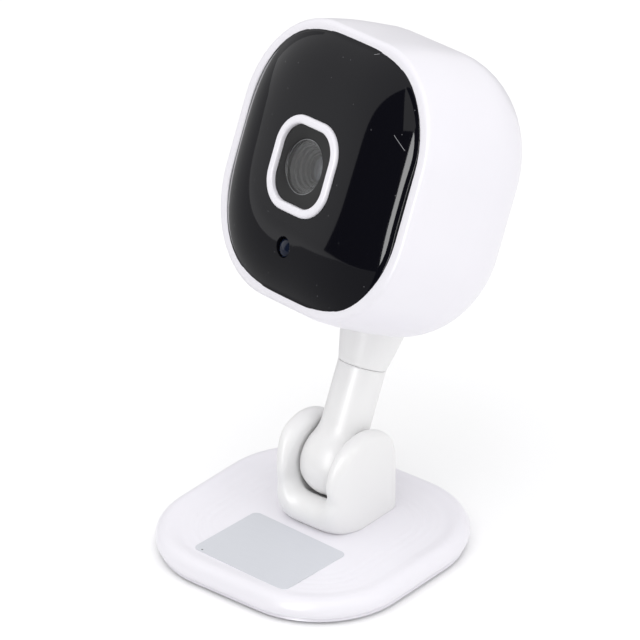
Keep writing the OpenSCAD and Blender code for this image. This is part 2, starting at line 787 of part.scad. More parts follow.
module light_sensor() {
    top = dome_z(sensor_drop - panel_w / 2 + panel_corner, panel_edge) - 0.2;
    body = top - led_back - sensor_r;
    color("#1c2440") in_head() translate([0, -sensor_drop, led_back]) {
        cylinder(r = sensor_r, h = body, $fn = 48);
        intersection() {
            translate([0, 0, body]) sphere(sensor_r, $fn = 48);
            translate([-sensor_r, -sensor_r, body]) cube(2 * sensor_r);
        }
    }
}

module sensor_sleeve() {
    top = dome_z(sensor_drop + 2.9 - panel_w / 2 + panel_corner, panel_edge) - panel_t - 0.2;
    color(black_color) in_head() translate([0, -sensor_drop, led_back]) tube(2.8, sensor_r + 0.1, top - led_back);
}

module main_board_screws_at() {
    for (x = [-1, 1]) translate([x * 21, -4, 0]) children();
}

module main_board() {
    color(board_color) in_head() translate([0, 0, main_board_z]) difference() {
        translate([0, main_board_y, 0]) plate(main_board_w, main_board_h, main_board_corner, board_t);
        head_posts_at() translate([0, 0, -cut]) cylinder(r = post_r + 0.3, h = 3, $fn = 32);
        main_board_screws_at() translate([0, 0, -cut]) cylinder(r = 0.9, h = 3, $fn = 32);
    }
}

module main_board_screws() {
    color(metal_color) in_head() main_board_screws_at() translate([0, 0, main_board_z + board_t])
        screw(0.8, 6, 1.5, 1);
}

module processor() {
    color("#26272b") in_head() translate([-4, 0, main_board_z + board_t]) plate(11, 11, 0.4, 1.3);
}

module wireless_shield() {
    color(metal_color) in_head() translate([0, 17, main_board_z + board_t]) plate(14, 11, 0.6, 1.9);
}

module card_socket() {
    color(metal_color) in_head() translate([-main_board_w / 2, card_y - card_w / 2, main_board_z - card_t]) difference() {
        cube([15, card_w, card_t]);
        translate([-cut, 1.2, 0.4]) cube([13, card_w - 2.4, 0.8]);
    }
}

module usb_socket() {
    wall = 0.4;
    color(metal_color) in_head() translate([-usb_w / 2, socket_y - usb_t / 2, 0.8]) difference() {
        cube([usb_w, usb_t, main_board_z - 0.8]);
        translate([wall, wall, -cut]) difference() {
            cube([usb_w - 2 * wall, usb_t - 2 * wall, 6]);
            translate([1.6, 0.9, 0]) cube([usb_w - 2 * wall - 3.2, 0.8, 7]);
        }
    }
}

module loudspeaker() {
    color("#3a3b40") in_head() translate([0, speaker_y, shell_wall]) {
        difference() {
            cylinder(r = speaker_r, h = speaker_t - 1.4, $fn = 64);
            translate([0, 0, -cut]) cylinder(r1 = speaker_r - 1, r2 = 3, h = 1.6, $fn = 64);
        }
        translate([0, 0, speaker_t - 1.4]) cylinder(r = speaker_r - 3, h = 1.4, $fn = 64);
    }
}

module microphone() {
    color(metal_color) in_head() translate([mic_x, socket_y, main_board_z - 1.2]) plate(4, 3, 0.3, 1.2);
}

module reset_switch() {
    color("#303238") in_head() translate([button_x, socket_y, main_board_z]) rotate([180, 0, 0]) {
        plate(4.6, 4.6, 0.4, 2.8);
        translate([0, 0, 2.8 - cut]) cylinder(r = 1, h = 0.7 + cut, $fn = 32);
    }
}

module reset_button() {
    flange_low = shell_wall + 0.1;
    flange = 1;
    color(stand_color) in_head() translate([button_x, socket_y, 0]) {
        translate([0, 0, -button_proud]) cylinder(r = button_d / 2, h = flange_low + flange + button_proud, $fn = 64);
        translate([0, 0, flange_low]) cylinder(r = button_d / 2 + 0.9, h = flange, $fn = 64);
        translate([0, 0, flange_low]) cylinder(r = 1.2, h = main_board_z - 3.5 - button_travel - 0.2 - flange_low, $fn = 48);
    }
}

foot_pad();
base_bottom();
ballast_plate();
base_cover();
base_screws();
label();
yoke();
yoke_screws();
hinge_screw();
hinge_spring_washer();
hinge_nut();
friction_washers();
arm();
swivel_washer();
swivel_spring_washer();
swivel_screw();
neck();
neck_screws();
head_shell();
front_frame();
frame_screws();
panel_tape();
front_panel();
lens_ring();
lens_bezel();
lens_window();
lens_barrel();
front_glass();
rear_glass();
lens_holder();
infrared_filter();
image_sensor();
sensor_board();
standoffs();
board_screws();
infrared_board();
infrared_lights();
infrared_screws();
infrared_cable();
light_sensor();
sensor_sleeve();
main_board();
main_board_screws();
processor();
wireless_shield();
card_socket();
usb_socket();
loudspeaker();
microphone();
reset_switch();
reset_button();
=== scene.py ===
# %% [markdown]
# # A small desk security camera
# The object is a weighted square base, a forked yoke, an arm that leans in the yoke, and a rounded
# head that swivels on the arm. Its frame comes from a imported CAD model, so nothing here moves or
# resizes a part. This notebook only makes the surfaces that are seen, and their finishes.

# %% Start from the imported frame
import json
import math

import bpy
import numpy as np
from mathutils import Matrix, Vector


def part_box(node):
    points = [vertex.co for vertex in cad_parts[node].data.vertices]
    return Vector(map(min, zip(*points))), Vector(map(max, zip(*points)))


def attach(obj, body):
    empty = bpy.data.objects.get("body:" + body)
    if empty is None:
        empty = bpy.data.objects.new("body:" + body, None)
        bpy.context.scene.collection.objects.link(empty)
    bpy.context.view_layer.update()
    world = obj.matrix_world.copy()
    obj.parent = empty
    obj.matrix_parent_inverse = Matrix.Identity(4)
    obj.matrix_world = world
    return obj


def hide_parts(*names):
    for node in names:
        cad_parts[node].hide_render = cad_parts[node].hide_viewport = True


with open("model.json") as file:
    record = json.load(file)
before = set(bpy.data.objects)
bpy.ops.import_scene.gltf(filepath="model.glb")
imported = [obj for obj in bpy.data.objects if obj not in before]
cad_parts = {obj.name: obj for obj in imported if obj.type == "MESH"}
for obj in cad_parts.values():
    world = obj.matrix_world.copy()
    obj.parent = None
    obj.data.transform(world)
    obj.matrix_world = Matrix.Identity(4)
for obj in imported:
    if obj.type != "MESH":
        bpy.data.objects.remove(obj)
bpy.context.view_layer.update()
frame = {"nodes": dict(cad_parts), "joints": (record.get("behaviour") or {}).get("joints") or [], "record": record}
record = frame["record"]

# %% [markdown]
# ## Three sets of axes
# A leaning arm is awkward to model in room axes. Each moving part is therefore made lying straight in
# its own axes, in millimetres, and a matrix then carries it to its place. The axes come from the
# joints: the hinge pin, the swivel axis and the direction in which the button is pressed, which is
# straight through the head from its back to its lens.

# %% Axes from the joints
MM = 0.001
joints = {joint["name"]: joint for joint in frame["joints"]}
pin = Vector(joints["arm_tilt"]["pos_m"])
arm_up = Vector(joints["head_swivel"]["axis"]).normalized()
head_forward = Vector(joints["reset_press"]["axis"]).normalized()


def axes(origin, x, y, z):
    """A matrix from millimetres along x, y and z at the origin to metres in the room."""
    turned = Matrix((x, y, z)).transposed().to_4x4()
    return Matrix.Translation(origin) @ turned @ Matrix.Scale(MM, 4)


def span(node, place):
    """Lowest and highest corner of a CAD node, in millimetres along the given axes."""
    back = place.inverted()
    points = np.array([back @ vertex.co for vertex in frame["nodes"][node].data.vertices])
    return points.min(0), points.max(0)


def middle(node, place):
    low, high = span(node, place)
    return (low + high) / 2


def direction(azimuth, elevation):
    """The unit vector at an azimuth round from the front and an elevation, both in degrees."""
    a, e = math.radians(azimuth), math.radians(elevation)
    return Vector((math.sin(a) * math.cos(e), -math.cos(a) * math.cos(e), math.sin(e)))


room = axes(Vector((0, 0, 0)), Vector((1, 0, 0)), Vector((0, 1, 0)), Vector((0, 0, 1)))
pin_up = axes(Vector((0, pin.y, 0)), Vector((1, 0, 0)), Vector((0, 1, 0)), Vector((0, 0, 1)))
arm_side = Vector((1, 0, 0))
arm_axes = axes(pin, arm_side, arm_up.cross(arm_side), arm_up)
head_side = arm_up.cross(head_forward).normalized()
neck_axes = axes(pin, head_side, arm_up.cross(head_side), arm_up)
shell_low, shell_high = span("head_shell", neck_axes)
head_rise = (shell_low[2] + shell_high[2]) / 2
axis_depth = shell_high[1]
head_origin = neck_axes @ Vector((0, axis_depth, head_rise))
head_axes = axes(head_origin, head_side, arm_up, head_forward)
print("head rises", round(head_rise, 2), "mm over the pin")
print("its back is", round(axis_depth, 2), "mm behind the axis")

# %% [markdown]
# ## Sizes
# Every size is measured from a CAD node, along the axes in which it was drawn. Only roundings, which
# a box can't show, are written here as numbers.

# %% Sizes measured from the CAD nodes
def size(node, place):
    low, high = span(node, place)
    return high - low


head_w, head_h, head_d = span("head_shell", head_axes)[1] * (2, 2, 1)
panel_w = size("front_panel", head_axes)[0]
panel_back = span("front_panel", head_axes)[0][2]
ring_face = span("lens_ring", head_axes)[1][2]
bezel_side = size("lens_bezel", head_axes)[0]
bezel_back, bezel_face = span("lens_bezel", head_axes)[0][2], span("lens_bezel", head_axes)[1][2]
base_w, base_h = size("base_cover", room)[0], span("base_cover", room)[1][2]
pad_t = span("foot_pad", room)[1][2]
dish_z = span("yoke", room)[0][2]
yoke_w, yoke_d = size("yoke", pin_up)[:2]
pin_z = pin.z / MM
arm_low, arm_high = span("arm", arm_axes)
neck_low, neck_high = span("neck", neck_axes)
knuckle_r = -arm_low[2]
print("head", round(head_w, 1), round(head_h, 1), round(head_d, 1))
print("base", round(base_w, 1), "yoke", round(yoke_w, 1))

# %% Roundings and walls, in millimetres
HEAD_CORNER, BACK_ROUND, WIDEST = 23.3, 15.0, 21.0
SHELL_WALL, LIP_DRAW, LIP_ROUND, LIP_DEPTH = 1.8, 0.9, 1.2, 2.2
PANEL_CORNER, PANEL_GAP, PANEL_DOME, PANEL_WALL = 19.8, 0.25, 5.2, 2.0
RING_W, RING_CORNER, RING_BAND, RING_PROUD = 20.4, 7.2, 1.9, 0.8
BASE_CORNER, RIM_W, DISH_DROP = 21.0, 4.6, 0.6
ARM_R, SPIGOT_LEN, FILLET_R, SLOT_HALF = 5.25, 3.2, 7.0, 5.45
ARM_LEN = arm_high[2] - SPIGOT_LEN
PIN_HOLE_R, SPIGOT_R, SPIGOT_GAP = 1.55, 3, 0.05
panel_edge = ring_face - RING_PROUD - PANEL_DOME

# %% [markdown]
# ## Camera
# A long lens from 1.4 metres keeps the sides of the object almost parallel. The camera stands to the
# right of the front and looks down on it.

# %% The camera
AZIMUTH, ELEVATION, DISTANCE = 39, 29.5, 1.4
LENS_MM, FILM_MM = 377.747, 36
LOOK_HIGH, SHIFT_RIGHT, SHIFT_UP = 0.050, 0.0015, 0.0039
backward = direction(AZIMUTH, ELEVATION)
rightward = direction(AZIMUTH + 90, 0)
upward = backward.cross(rightward)
target = Vector((0, 0, LOOK_HIGH)) + rightward * SHIFT_RIGHT + upward * SHIFT_UP
camera = bpy.data.objects.new("camera", bpy.data.cameras.new("camera"))
camera.data.sensor_width = FILM_MM
camera.data.lens = LENS_MM
camera.data.clip_end = 20
camera.location = target + backward * DISTANCE
camera.rotation_euler = backward.to_track_quat("Z", "Y").to_euler()
bpy.context.scene.collection.objects.link(camera)
bpy.context.scene.camera = camera
print("lens", round(LENS_MM, 1), "mm")

# %% [markdown]
# ## Shader sums written as Python
# A node tree is slow to read. One small class wraps a socket, so that sums on it add the Math nodes,
# and one method adds any other node from its type, its settings and the values of its sockets.

# %% A socket that can be used like a number
class Wire:
    def __init__(self, finish, socket):
        self.finish, self.socket = finish, socket

    def math(self, operation, first, second):
        return self.finish.add("ShaderNodeMath", {"operation": operation}, {0: first, 1: second})

    def __add__(self, other):
        return self.math("ADD", self, other)

    def __mul__(self, other):
        return self.math("MULTIPLY", self, other)

    def __sub__(self, other):
        return self.math("SUBTRACT", self, other)

    def __rsub__(self, other):
        return self.math("SUBTRACT", other, self)

    def __lt__(self, other):
        return self.math("LESS_THAN", self, other)

    def __gt__(self, other):
        return self.math("GREATER_THAN", self, other)

    def __abs__(self):
        return self.math("ABSOLUTE", self, 0)

    __radd__, __rmul__ = __add__, __mul__


# %% A finish: one material and its nodes
class Finish:
    def __init__(self, name, **constants):
        self.material = bpy.data.materials.new(name)
        self.material.use_nodes = True
        self.tree = self.material.node_tree
        self.shader = next(n for n in self.tree.nodes if n.type == "BSDF_PRINCIPLED")
        for socket, value in constants.items():
            self.shader.inputs[socket.replace("_", " ")].default_value = value

    def add(self, kind, settings=None, sockets=None, output=0):
        node = self.tree.nodes.new(kind)
        for name, value in (settings or {}).items():
            setattr(node, name, value)
        for key, value in (sockets or {}).items():
            self.feed(node.inputs[key], value)
        return Wire(self, node.outputs[output])

    def feed(self, socket, value):
        if isinstance(value, Wire):
            self.tree.links.new(value.socket, socket)
        else:
            socket.default_value = value

    def set(self, **sockets):
        for name, value in sockets.items():
            self.feed(self.shader.inputs[name.replace("_", " ")], value)

    def place(self):
        """The point on the surface, in millimetres."""
        metres = self.add("ShaderNodeTexCoord", output="Object")
        return self.add("ShaderNodeVectorMath", {"operation": "SCALE"}, {0: metres, "Scale": 1 / MM})

    def noise(self, size_mm, detail=2.0):
        sockets = {"Vector": self.place(), "Scale": 1 / size_mm, "Detail": detail}
        return self.add("ShaderNodeTexNoise", None, sockets)

    def vector(self, operation, first, second, output=0):
        sockets = {0: first, 1: second}
        return self.add("ShaderNodeVectorMath", {"operation": operation}, sockets, output)

    def mix(self, share, first, second):
        """Mixes two colours, each a wire or three numbers."""
        first, second = (c if isinstance(c, Wire) else (*c, 1) for c in (first, second))
        sockets = {0: share, 6: first, 7: second}
        return self.add("ShaderNodeMix", {"data_type": "RGBA"}, sockets, output=2)

    def bump(self, height, deep_mm, strength=1.0):
        sockets = {"Height": height, "Distance": deep_mm * MM, "Strength": strength}
        self.set(Normal=self.add("ShaderNodeBump", None, sockets))


print("shader helpers ready")

# %% [markdown]
# ## Finishes
# ### Moulded plastic
# Glossy mouldings are never perfectly even. A slow cloud changes the colour by a hair, another changes
# how sharp the gloss is, and a fine grain gives the faint orange peel of a steel mould.

# %% Moulded plastic
def moulded(name, colour, shade, gloss, grain_mm=0.35, deep_mm=0.004, coat=0.0):
    finish = Finish(name, Coat_Weight=coat, Coat_Roughness=0.08, IOR=1.46)
    finish.set(Base_Color=finish.mix(finish.noise(14, 3), colour, shade))
    finish.set(Roughness=gloss + 0.10 * finish.noise(6, 4))
    finish.bump(finish.noise(grain_mm, 2), deep_mm, 0.25)
    return finish.material


# %% Brushed and turned metal
def metal(name, colour, shade, gloss):
    finish = Finish(name, Metallic=1.0)
    stretched = finish.vector("MULTIPLY", finish.place(), (1, 1, 9))
    lines = finish.add("ShaderNodeTexNoise", None, {"Vector": stretched, "Scale": 1.2, "Detail": 5.0})
    finish.set(Base_Color=finish.mix(lines, colour, shade), Roughness=gloss + 0.2 * lines)
    finish.bump(lines, 0.01, 0.3)
    return finish.material


# %% [markdown]
# ### The polished black front
# Handled acrylic shows dust and a scratch or two. Specks are the middles of a few cells of a Voronoi
# pattern. The scratches are thin lines, drawn with the head's own sideways and upward coordinates.

# %% Polished black acrylic
def along(finish, way, origin):
    """How far the surface point lies from the origin in one direction, in millimetres."""
    offset = tuple(-c / MM for c in origin)
    moved = finish.vector("ADD", finish.place(), offset)
    return finish.vector("DOT_PRODUCT", moved, tuple(way), "Value")


# A scratch has a middle to the side and up, a slope, half a length and half a width
PANEL_SCRATCHES = [(23.75, 12.35, -1.35, 1.15, 0.085), (7.7, 27.1, 2.2, 0.25, 0.12)]
LABEL_RUBS = [(4.2, -8.0, 0.12, 2.6, 0.10), (5.1, -7.4, 0.10, 1.8, 0.08)]


def scratch(side, up, side_at, up_at, slope, half_len, half_width):
    across = abs(side - side_at - slope * (up - up_at))
    return (across < half_width) * (abs(up - up_at) < half_len)


def black_acrylic():
    finish = Finish("black acrylic", IOR=1.45, Specular_IOR_Level=0.30)
    side = along(finish, head_side, head_origin)
    up = along(finish, arm_up, head_origin)
    flat = finish.add("ShaderNodeCombineXYZ", None, {0: side, 1: up})
    cells = {"Vector": flat, "Scale": 0.42, "Randomness": 1.0}
    in_plane = {"voronoi_dimensions": "2D"}
    near = finish.add("ShaderNodeTexVoronoi", in_plane, cells)
    pick = finish.add("ShaderNodeTexVoronoi", in_plane, cells, output="Color")
    picked = finish.add("ShaderNodeSeparateColor", None, {0: pick}) > 0.93
    dust = (near < 0.036) * picked
    first, second = (scratch(side, up, *numbers) for numbers in PANEL_SCRATCHES)
    marks = dust * 0.25 + (first + second) * 0.5
    finish.set(Base_Color=finish.mix(marks, (0.0040, 0.0040, 0.0062), (0.55, 0.55, 0.58)))
    finish.set(Roughness=0.035 + 0.03 * finish.noise(9, 3) + 0.4 * marks)
    return finish.material


# %% [markdown]
# ### Label, rubber, boards and glass
# The label is a blank silver foil with faint rubbed lines and one dark speck. The rubber pad is dull
# and grainy. Boards show copper runs under green varnish. Clear pieces bend light instead of fading.

# %% Label foil
SPECK_SIDE, SPECK_BACK = -11.3, -8.6


def foil():
    finish = Finish("label foil", Metallic=0.25, IOR=1.5)
    low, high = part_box("label")
    centre = (low + high) / 2
    side = along(finish, Vector((1, 0, 0)), centre)
    back = along(finish, Vector((0, 1, 0)), centre)
    rubbed = finish.vector("MULTIPLY", finish.place(), (0.25, 2.2, 1))
    lines = finish.add("ShaderNodeTexNoise", None, {"Vector": rubbed, "Scale": 1.0, "Detail": 4.0})
    speck = (abs(side - SPECK_SIDE) < 0.22) * (abs(back - SPECK_BACK) < 0.16)
    first, second = (scratch(back, side, *numbers) for numbers in LABEL_RUBS)
    colour = finish.mix(speck, (0.66, 0.675, 0.715), (0.03, 0.03, 0.03))
    shaded = finish.mix(lines * 0.3 + (first + second) * 0.25, colour, (0.60, 0.61, 0.655))
    finish.set(Base_Color=shaded, Roughness=0.42 + 0.12 * lines)
    finish.bump(lines, 0.01, 0.2)
    return finish.material


# %% Circuit board
def board():
    finish = Finish("circuit board", IOR=1.5, Coat_Weight=0.3, Coat_Roughness=0.15)
    bricks = {"Vector": finish.place(), "Scale": 0.35, "Mortar Size": 0.06}
    runs = finish.add("ShaderNodeTexBrick", None, bricks, output="Fac")
    finish.set(Base_Color=finish.mix(runs, (0.012, 0.10, 0.045), (0.03, 0.20, 0.08)))
    finish.set(Roughness=0.35 + 0.15 * finish.noise(3))
    finish.bump(runs, 0.03, 0.4)
    return finish.material


# %% Clear pieces
def clear(name, colour, index):
    finish = Finish(name, Transmission_Weight=1.0, IOR=index)
    smear = finish.noise(4, 3)
    finish.set(Base_Color=finish.mix(smear, colour, tuple(0.97 * c for c in colour)))
    finish.set(Roughness=0.01 + 0.02 * smear)
    return finish.material


# %% One finish for each material slot of the record
finishes = {
    "shell_white": moulded("shell white", (0.815, 0.800, 0.845), (0.800, 0.786, 0.834), 0.26),
    "stand_white": moulded("stand white", (0.820, 0.817, 0.818), (0.808, 0.805, 0.807), 0.30),
    "panel_black": black_acrylic(),
    "black_plastic": moulded("black plastic", (0.005, 0.005, 0.006), (0.008, 0.008, 0.009), 0.30, 0.2, 0.01),
    "rubber": moulded("rubber", (0.030, 0.030, 0.032), (0.045, 0.045, 0.047), 0.65, 0.15, 0.03),
    "steel": metal("steel", (0.60, 0.61, 0.63), (0.50, 0.51, 0.53), 0.22),
    "brass": metal("brass", (0.74, 0.55, 0.22), (0.62, 0.44, 0.16), 0.25),
    "label_silver": foil(),
    "washer_nylon": moulded("nylon", (0.70, 0.70, 0.66), (0.66, 0.66, 0.61), 0.45),
    "board_green": board(),
    "chip_black": moulded("chip", (0.02, 0.02, 0.022), (0.03, 0.03, 0.032), 0.5, 0.1, 0.01),
    "window_clear": clear("clear window", (0.96, 0.97, 0.98), 1.49),
    "lens_glass": clear("lens glass", (0.80, 0.84, 0.95), 1.6),
    "filter_glass": clear("filter glass", (0.55, 0.80, 0.92), 1.5),
    "sensor_blue": moulded("sensor dome", (0.004, 0.007, 0.018), (0.006, 0.010, 0.026), 0.10, 0.3, 0.002),
    "tape_black": moulded("foam tape", (0.02, 0.02, 0.02), (0.03, 0.03, 0.03), 0.8, 0.2, 0.05),
    "cable_ivory": moulded("ribbon cable", (0.62, 0.58, 0.48), (0.55, 0.51, 0.42), 0.4, 0.3, 0.02),
}
slot_of = {part["node"]: part["material_slot"] for part in record["subparts"]}
for node, slot_name in slot_of.items():
    for slot in frame["nodes"][node].material_slots:
        slot.material = finishes[slot_name]
print(len(finishes), "finishes on", len(slot_of), "nodes")

# %% [markdown]
# ## Two ways to make a surface
# Most of this object is a rounded square pulled along a profile: the head, its panel, the lens ring
# and the base. For those, rings of points are stacked and joined with quads, which keeps the mesh even
# and exact. The yoke, arm and neck melt into themselves with soft blends. A box with bevels can't do
# that, so they are described by a distance function, where a blend is one line of sums.

# %% Rings of points
ARC, SIDE = 14, 8
COUNT = 4 * (ARC + SIDE)


def outline(width, height, corner):
    """Points round a rounded rectangle, anticlockwise."""
    points = []
    for quarter, (sx, sy) in enumerate([(1, 1), (-1, 1), (-1, -1), (1, -1)]):
        centre = np.array([sx * (width / 2 - corner), sy * (height / 2 - corner)])
        for step in range(ARC):
            angle = math.pi / 2 * (quarter + step / ARC)
            points.append(centre + corner * np.array([math.cos(angle), math.sin(angle)]))
        angle = math.pi / 2 * (quarter + 1)
        end = centre + corner * np.array([math.cos(angle), math.sin(angle)])
        nx, ny = [(-1, 1), (-1, -1), (1, -1), (1, 1)][quarter]
        next_centre = np.array([nx * (width / 2 - corner), ny * (height / 2 - corner)])
        start = next_centre + corner * np.array([math.cos(angle), math.sin(angle)])
        points += [end + (start - end) * step / SIDE for step in range(SIDE)]
    return np.array(points)


def square_ring(width, height, corner, inset, level):
    flat = outline(width - 2 * inset, height - 2 * inset, max(corner - inset, 0.3))
    return np.column_stack([flat, np.full(COUNT, float(level))])


angles = np.arctan2(*outline(2, 2, 0.7).T[::-1])


def round_ring(radius, level, centre=(0, 0)):
    x = centre[0] + radius * np.cos(angles)
    y = centre[1] + radius * np.sin(angles)
    return np.column_stack([x, y, np.full(COUNT, float(level))])


def turn(centre_inset, centre_level, radius, start, end, steps=8):
    """A rounding in a profile, as pairs of inset and level."""
    sweep = np.radians(np.linspace(start, end, steps + 1))
    return [(centre_inset + radius * math.cos(a), centre_level + radius * math.sin(a)) for a in sweep]


def turn_out(centre_inset, centre_level, radius, start, end, steps=8):
    """The same rounding turned outwards, where the piece is widest at zero degrees."""
    rounding = turn(centre_inset, centre_level, radius, start, end, steps)
    return [(centre_inset - (inset - centre_inset), level) for inset, level in rounding]


print(COUNT, "points in a ring")

# %% Joining rings and putting a piece in its place
def loft(rings, closed=False):
    """Joins rings with quads, and closes the ends unless the last ring meets the first."""
    count = len(rings[0])
    faces = []
    for i in range(len(rings) if closed else len(rings) - 1):
        here, there = i * count, (i + 1) % len(rings) * count
        for j in range(count):
            following = (j + 1) % count
            faces.append((here + j, here + following, there + following, there + j))
    if not closed:
        last = (len(rings) - 1) * count
        faces += [tuple(range(count - 1, -1, -1)), tuple(range(last, last + count))]
    return np.vstack(rings), faces


def make(name, points, faces, place, crease=35):
    mesh = bpy.data.meshes.new(name)
    mesh.from_pydata([place @ Vector(p) for p in points], [], [tuple(int(i) for i in f) for f in faces])
    mesh.validate()
    mesh.shade_smooth()
    mesh.set_sharp_from_angle(angle=math.radians(crease))
    piece = bpy.data.objects.new(name, mesh)
    bpy.context.scene.collection.objects.link(piece)
    return piece


def dress(piece, body, slot_name, *nodes):
    """Gives a piece its finish and its body, and hides the CAD nodes that it stands for."""
    piece.data.materials.clear()
    piece.data.materials.append(finishes[slot_name])
    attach(piece, body)
    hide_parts(*nodes)
    print(piece.name, len(piece.data.polygons), "faces")
    return piece


# %% Cutting holes
def cut(piece, cutters, crease=35):
    """Takes the cutters out of the piece and removes them."""
    for cutter in cutters:
        modifier = piece.modifiers.new("cut", "BOOLEAN")
        modifier.operation, modifier.solver, modifier.object = "DIFFERENCE", "EXACT", cutter
    evaluated = piece.evaluated_get(bpy.context.evaluated_depsgraph_get())
    mesh = bpy.data.meshes.new_from_object(evaluated)
    piece.modifiers.clear()
    piece.data = mesh
    mesh.shade_smooth()
    mesh.set_sharp_from_angle(angle=math.radians(crease))
    for cutter in cutters:
        bpy.data.objects.remove(cutter)
    return piece


def peg(radius, low, high, centre, place):
    rings = [round_ring(radius, level, centre) for level in (low, high)]
    return make("peg", *loft(rings), place)


# %% [markdown]
# ## Head shell
# The real shell is one white moulding, open at the front. It could be a subdivided cube, but its
# corners must be exact arcs, so it is one profile carried round: out from the flat back, round the
# back's edge, along a side that draws in a little, over the lip, and back along the inner wall.

# %% Head shell
LIP_INNER = 0.35
opening_inset = head_w / 2 - panel_w / 2 - PANEL_GAP
ledge = head_d - LIP_DEPTH
side_steps = np.linspace(0, 1, 12)[1:-1]
draw = [(LIP_DRAW * t ** 1.7, WIDEST + (head_d - LIP_ROUND - WIDEST) * t) for t in side_steps]
profile = turn_out(BACK_ROUND, BACK_ROUND, BACK_ROUND, -90, 0, 22)
profile += [(0, (BACK_ROUND + WIDEST) / 2), (0, WIDEST)] + draw
lip_centre = LIP_DRAW + LIP_ROUND
profile += turn_out(lip_centre, head_d - LIP_ROUND, LIP_ROUND, 0, 90)
profile += turn(opening_inset - LIP_INNER, head_d - LIP_INNER, LIP_INNER, 90, 0, 4)
profile += [(opening_inset, ledge), (SHELL_WALL + LIP_DRAW * 0.8, ledge), (SHELL_WALL, WIDEST)]
profile += turn_out(BACK_ROUND, BACK_ROUND, BACK_ROUND - SHELL_WALL, 0, -90, 12)
rings = [square_ring(head_w, head_h, HEAD_CORNER, inset, level) for inset, level in profile]
head_shell = make("head_shell_moulding", *loft(rings), head_axes)
print("shell profile has", len(profile), "points")

# %% [markdown]
# The back carries the speaker grille, the USB socket, the microphone and the reset button, the left
# side has the card slot, and the neck comes in from below. Each hole is cut round the CAD part that
# looks through it, with a small gap.

# %% Holes in the head shell
GRILLE_R, GRILLE_STEP, BUTTON_HOLE_R, NECK_HOLE_R = 0.6, 2.6, 2.15, 3.95
SOCKET_GAP, SLOT_TRIM, SLOT_DEEP, SLOT_AT = 0.3, 1, 9, 3.5
outside, through = -1, SHELL_WALL + 0.6
speaker_y = middle("loudspeaker", head_axes)[1]
cutters = []
for row in range(3):
    for i in range(max(1, 6 * row)):
        a = math.radians(60 * i / row) if row else 0
        spot = (GRILLE_STEP * row * math.cos(a), speaker_y + GRILLE_STEP * row * math.sin(a))
        cutters.append(peg(GRILLE_R, outside, through, spot, head_axes))
usb_w, usb_t = size("usb_socket", head_axes)[:2] + SOCKET_GAP
usb_at = (0, middle("usb_socket", head_axes)[1], 0)
usb = [square_ring(usb_w, usb_t, 0.5, 0, level) + usb_at for level in (outside, through)]
cutters.append(make("peg", *loft(usb), head_axes))
button_low, button_high = span("reset_button", head_axes)
button_at = middle("reset_button", head_axes)[:2]
cutters.append(peg(BUTTON_HOLE_R, outside, through, button_at, head_axes))
cutters.append(peg(GRILLE_R, outside, through, middle("microphone", head_axes)[:2], head_axes))
card_low, card_high = span("card_socket", head_axes)
slot_h = size("card_socket", head_axes)[1] - 2 * SLOT_TRIM
slot_at = (-head_w / 2 + SLOT_AT, middle("card_socket", head_axes)[1], 0)
slot_levels = (card_low[2], card_high[2] - SOCKET_GAP)
card_slot = [square_ring(SLOT_DEEP, slot_h, 0.3, 0, level) + slot_at for level in slot_levels]
cutters.append(make("peg", *loft(card_slot), head_axes))
cutters.append(peg(NECK_HOLE_R, ARM_LEN + 2, head_rise - head_h / 2 + 12, (0, 0), neck_axes))
cut(head_shell, cutters)
dress(head_shell, "head", "shell_white", "head_shell")

# %% [markdown]
# ## Front panel
# The panel is a shallow dome with a polished bevel round it. Its level falls off with a power of how
# far a ring lies out towards the edge, which bends the reflections most near the rim, as a drawn
# acrylic sheet does. The inner ring is the hole for the lens.

# %% Front panel
hole_w, hole_corner = RING_W + 0.2, RING_CORNER + 0.1
DOME_POWER, BEVEL, BEVEL_DROP, BEVEL_TURN, WALL_FOOT = 4.4, 0.4, 0.5, 0.98, 1.4
edge_line, hole_line = outline(panel_w, panel_w, PANEL_CORNER), outline(hole_w, hole_w, hole_corner)


def dome_ring(share, drop, inset):
    """A ring from the hole, at share 0, to the edge, at share 1, on the dome or a wall below it."""
    edge = outline(panel_w - 2 * inset, panel_w - 2 * inset, PANEL_CORNER - inset)
    flat = hole_line + (edge - hole_line) * share
    reach = ((np.abs(flat) / (panel_w / 2)) ** 3).sum(1) ** (1 / 3)
    level = panel_edge + PANEL_DOME * (1 - np.clip(reach, 0, 1) ** DOME_POWER)
    return np.column_stack([flat, level - drop])


def flat_ring(line, level):
    return np.column_stack([line, np.full(COUNT, float(level))])


top = [dome_ring(share, 0, BEVEL) for share in np.linspace(0, 1, 26)]
bevel_steps = np.linspace(0.15, 1, 7)
bevel = [square_ring(panel_w, panel_w, PANEL_CORNER, BEVEL * (1 - t), 0) for t in bevel_steps]
for t, ring in zip(bevel_steps, bevel):
    ring[:, 2] = top[-1][:, 2] - BEVEL_DROP * (1 - math.sqrt(1 - (t * BEVEL_TURN) ** 2))
wall = [flat_ring(edge_line, panel_back)]
wall += [square_ring(panel_w, panel_w, PANEL_CORNER, WALL_FOOT, panel_back)]
under = [dome_ring(share, PANEL_WALL, BEVEL + 0.7) for share in np.linspace(1, 0, 14)]
panel = make("front_panel_dome", *loft(top + bevel + wall + under, closed=True), head_axes, 40)
print("panel rings:", len(top + bevel + wall + under))

# %% [markdown]
# ### Light sensor
# A dark dome looks through a round hole in the panel. A shallow groove runs round the hole, and it is
# tilted to the slope that the panel has there, so that it is cut to the same depth all round.

